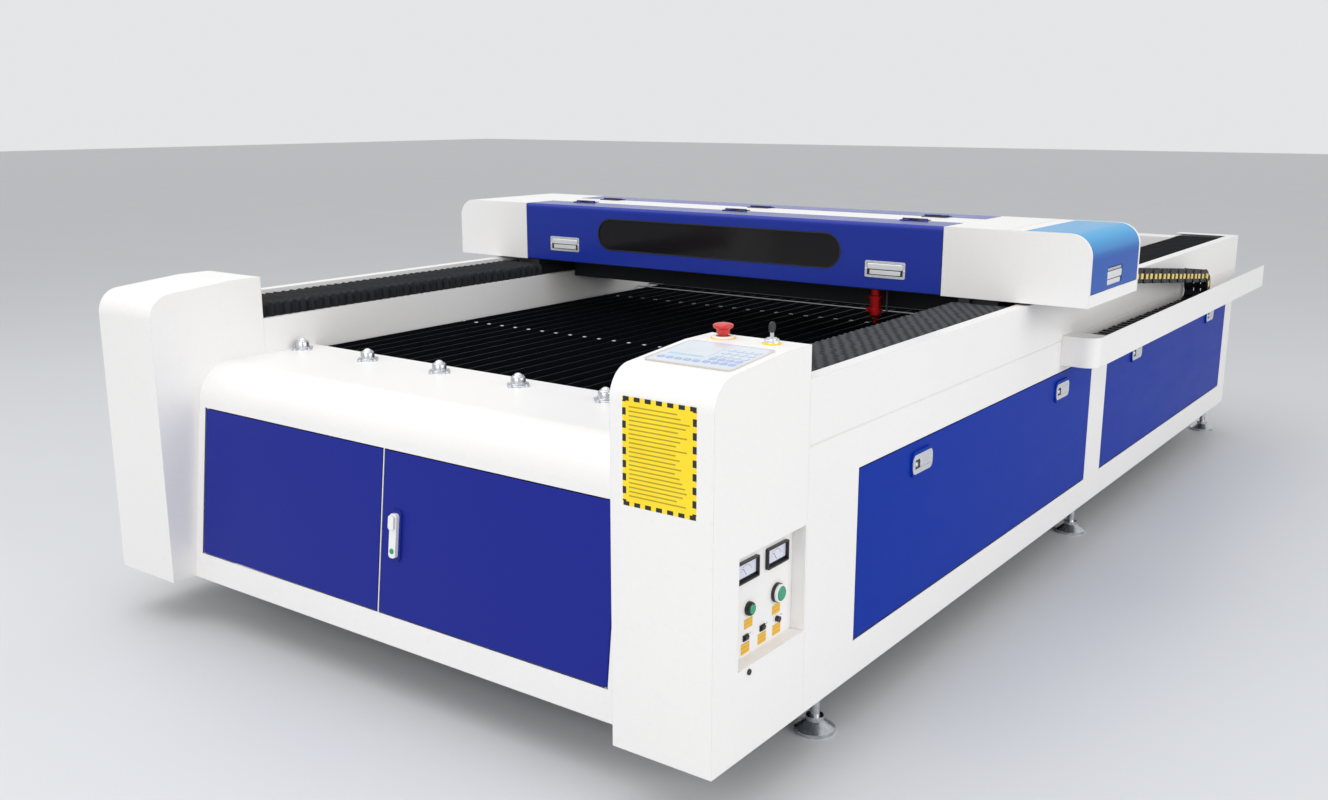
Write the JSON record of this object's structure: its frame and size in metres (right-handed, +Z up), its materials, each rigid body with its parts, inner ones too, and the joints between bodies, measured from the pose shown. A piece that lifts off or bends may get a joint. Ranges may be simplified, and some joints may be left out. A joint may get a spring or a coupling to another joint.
{
  "type": "carbon dioxide laser cutting machine",
  "caption": "Large flatbed laser cutter: a knife-slat bed between two side walls, a moving gantry with hinged covers and a laser head, two front control towers and a cable chain.",
  "frame": {"origin": "centre of the box at floor level", "axes": "+X to the operator's right, +Y from the front beam to the rear, +Z up"},
  "size_m": [2.258, 3.945, 1.0305],
  "materials": {
    "frame_steel": "grey painted steel",
    "zinc": "bright zinc plate",
    "white_paint": "semi-gloss white powder coat",
    "black_slat": "black anodised slats",
    "rail_steel": "ground bearing steel",
    "belt_rubber": "black toothed belt",
    "motor_black": "black",
    "chain_plastic": "black glass-filled nylon",
    "keypad": "printed membrane",
    "black_plastic": "black moulded",
    "red_plastic": "red moulded",
    "green_plastic": "green moulded",
    "white_plastic": "white moulded",
    "chrome": "polished",
    "blue_paint": "gloss blue powder coat",
    "gantry_blue": "gloss blue powder coat",
    "light_blue": "gloss light blue",
    "bellows_fabric": "coated dark grey fabric",
    "dark_paint": "dark grey paint",
    "black_paint": "black hinges",
    "aluminium": "machined",
    "window_acrylic": "dark smoked acrylic",
    "tube_glass": "clear borosilicate",
    "brass": "brass and mirror",
    "red_anodised": "red anodised"
  },
  "bodies": {
    "base": {"base_frame": "frame_steel", "levelling_feet": "zinc", "front_fascia": "white_paint", "left_tower": "white_paint", "control_tower": "white_paint", "left_side_skin": "white_paint", "right_side_skin": "white_paint", "rear_skin": "white_paint", "rail_channels": "white_paint", "knife_slats": "black_slat", "slat_supports": "black_slat", "scrap_tray": "black_slat", "y_rails": "rail_steel", "y_belts": "belt_rubber", "y_motor": "motor_black", "ball_transfers": "zinc", "chain_tray": "white_paint", "chain_lower": "chain_plastic", "keypad_panel": "keypad", "switch_bezels": "black_plastic", "panel_meters": "black_plastic", "laser_power_supply": "frame_steel", "motion_controller": "motor_black"},
    "gantry": {"gantry_beam": "dark_paint", "gantry_trucks": "aluminium", "gantry_end_left": "white_paint", "gantry_end_right": "white_paint", "gantry_spine": "white_paint", "cover_hinges": "black_paint", "laser_tube": "tube_glass", "tube_mounts": "motor_black", "beam_mirrors": "brass", "x_rail": "rail_steel", "x_belt": "belt_rubber", "x_motor": "motor_black", "chain_upper": "chain_plastic", "bellows_front": "bellows_fabric", "bellows_rear": "bellows_fabric"},
    "front_cover": {"front_cover": "gantry_blue", "cover_window": "window_acrylic"},
    "rear_cover": {"rear_cover": "gantry_blue"},
    "end_cover": {"end_access_cover": "light_blue"},
    "carriage": {"head_carriage": "aluminium"},
    "head": {"laser_head": "red_anodised"},
    "x_drive": {"x_drive_pulley": "aluminium"},
    "x_idler": {"x_idler_pulley": "aluminium"},
    "chain_bend": {"chain_bend": "chain_plastic"},
    "drive_shaft": {"y_drive_shaft": "rail_steel"},
    "idlers": {"belt_idlers": "rail_steel"},
    "left_door": {"left_door": "blue_paint"},
    "right_door": {"right_door": "blue_paint"},
    "handle": {"door_handle": "white_plastic"},
    "panel_lf": {"panel_left_front": "blue_paint"},
    "panel_lr": {"panel_left_rear": "blue_paint"},
    "panel_rf": {"panel_right_front": "blue_paint"},
    "panel_rr": {"panel_right_rear": "blue_paint"},
    "estop": {"estop_button": "red_plastic"},
    "key": {"key_barrel": "chrome"},
    "power": {"power_button": "green_plastic"},
    "laser_on": {"laser_button": "green_plastic"}
  },
  "joints": [
    {"name": "gantry_slide", "type": "slide", "parent": "base", "child": "gantry", "axis": [0, 1, 0], "range_m": [-0.95, 1.6], "deforming": ["bellows_front", "bellows_rear", "chain_upper", "chain_lower"]},
    {"name": "chain_roll", "type": "slide", "parent": "base", "child": "chain_bend", "axis": [0, 1, 0], "range_m": [-0.475, 0.8]},
    {"name": "shaft_turn", "type": "hinge", "parent": "base", "child": "drive_shaft", "pos_m": [0, 1.8725, 0.74], "axis": [-1, 0, 0], "range_deg": [-2900, 4700]},
    {"name": "idler_turn", "type": "hinge", "parent": "base", "child": "idlers", "pos_m": [0, -1.5725, 0.74], "axis": [-1, 0, 0], "range_deg": [-2900, 4700]},
    {"name": "carriage_slide", "type": "slide", "parent": "gantry", "child": "carriage", "axis": [1, 0, 0], "range_m": [-1.1, 0.15]},
    {"name": "focus_slide", "type": "slide", "parent": "carriage", "child": "head", "axis": [0, 0, 1], "range_m": [-0.012, 0.012]},
    {"name": "x_drive_turn", "type": "hinge", "parent": "gantry", "child": "x_drive", "pos_m": [-0.77, -0.357, 0.925], "axis": [0, 1, 0], "range_deg": [-3600, 600]},
    {"name": "x_idler_turn", "type": "hinge", "parent": "gantry", "child": "x_idler", "pos_m": [0.77, -0.357, 0.925], "axis": [0, 1, 0], "range_deg": [-3600, 600]},
    {"name": "front_cover_hinge", "type": "hinge", "parent": "gantry", "child": "front_cover", "pos_m": [-0.047, -0.3425, 1.026], "axis": [-1, 0, 0], "range_deg": [0, 95]},
    {"name": "rear_cover_hinge", "type": "hinge", "parent": "gantry", "child": "rear_cover", "pos_m": [-0.047, -0.1925, 1.026], "axis": [1, 0, 0], "range_deg": [0, 95]},
    {"name": "end_cover_hinge", "type": "hinge", "parent": "gantry", "child": "end_cover", "pos_m": [0.902, -0.2675, 1.0185], "axis": [0, -1, 0], "range_deg": [0, 75]},
    {"name": "left_door_hinge", "type": "hinge", "parent": "base", "child": "left_door", "pos_m": [-0.7045, -1.8716, 0.37782], "axis": [0, -0.1132, -0.9936], "range_deg": [0, 90]},
    {"name": "right_door_hinge", "type": "hinge", "parent": "base", "child": "right_door", "pos_m": [0.6575, -1.8716, 0.37782], "axis": [0, 0.1132, 0.9936], "range_deg": [0, 90]},
    {"name": "handle_turn", "type": "hinge", "parent": "right_door", "child": "handle", "pos_m": [0.0305, -1.88432, 0.35008], "axis": [0, 0.9936, -0.1132], "range_deg": [0, 90]},
    {"name": "panel_lf_hinge", "type": "hinge", "parent": "base", "child": "panel_lf", "pos_m": [-0.967, -0.6565, 0.211], "axis": [0, -1, 0], "range_deg": [0, 90]},
    {"name": "panel_lr_hinge", "type": "hinge", "parent": "base", "child": "panel_lr", "pos_m": [-0.967, 1.0385, 0.211], "axis": [0, -1, 0], "range_deg": [0, 90]},
    {"name": "panel_rf_hinge", "type": "hinge", "parent": "base", "child": "panel_rf", "pos_m": [0.967, -0.6565, 0.211], "axis": [0, 1, 0], "range_deg": [0, 90]},
    {"name": "panel_rr_hinge", "type": "hinge", "parent": "base", "child": "panel_rr", "pos_m": [0.967, 1.0385, 0.211], "axis": [0, 1, 0], "range_deg": [0, 90]},
    {"name": "estop_press", "type": "slide", "parent": "base", "child": "estop", "axis": [0, 0, -1], "range_m": [0, 0.004], "stiffness_N_per_m": 300},
    {"name": "key_turn", "type": "hinge", "parent": "base", "child": "key", "pos_m": [0.904, -1.67692, 0.9], "axis": [0, 0, 1], "range_deg": [0, 90]},
    {"name": "power_press", "type": "slide", "parent": "base", "child": "power", "axis": [-1, 0, 0], "range_m": [0, 0.004], "stiffness_N_per_m": 200},
    {"name": "laser_press", "type": "slide", "parent": "base", "child": "laser_on", "axis": [-1, 0, 0], "range_m": [0, 0.003], "stiffness_N_per_m": 200}
  ],
  "couplings": [
    {"joint": "chain_roll", "follows": "gantry_slide", "ratio": 0.5},
    {"joint": "shaft_turn", "follows": "gantry_slide", "rad_per_m": 50},
    {"joint": "idler_turn", "follows": "gantry_slide", "rad_per_m": 50},
    {"joint": "x_drive_turn", "follows": "carriage_slide", "rad_per_m": 55.556},
    {"joint": "x_idler_turn", "follows": "carriage_slide", "rad_per_m": 55.556}
  ]
}
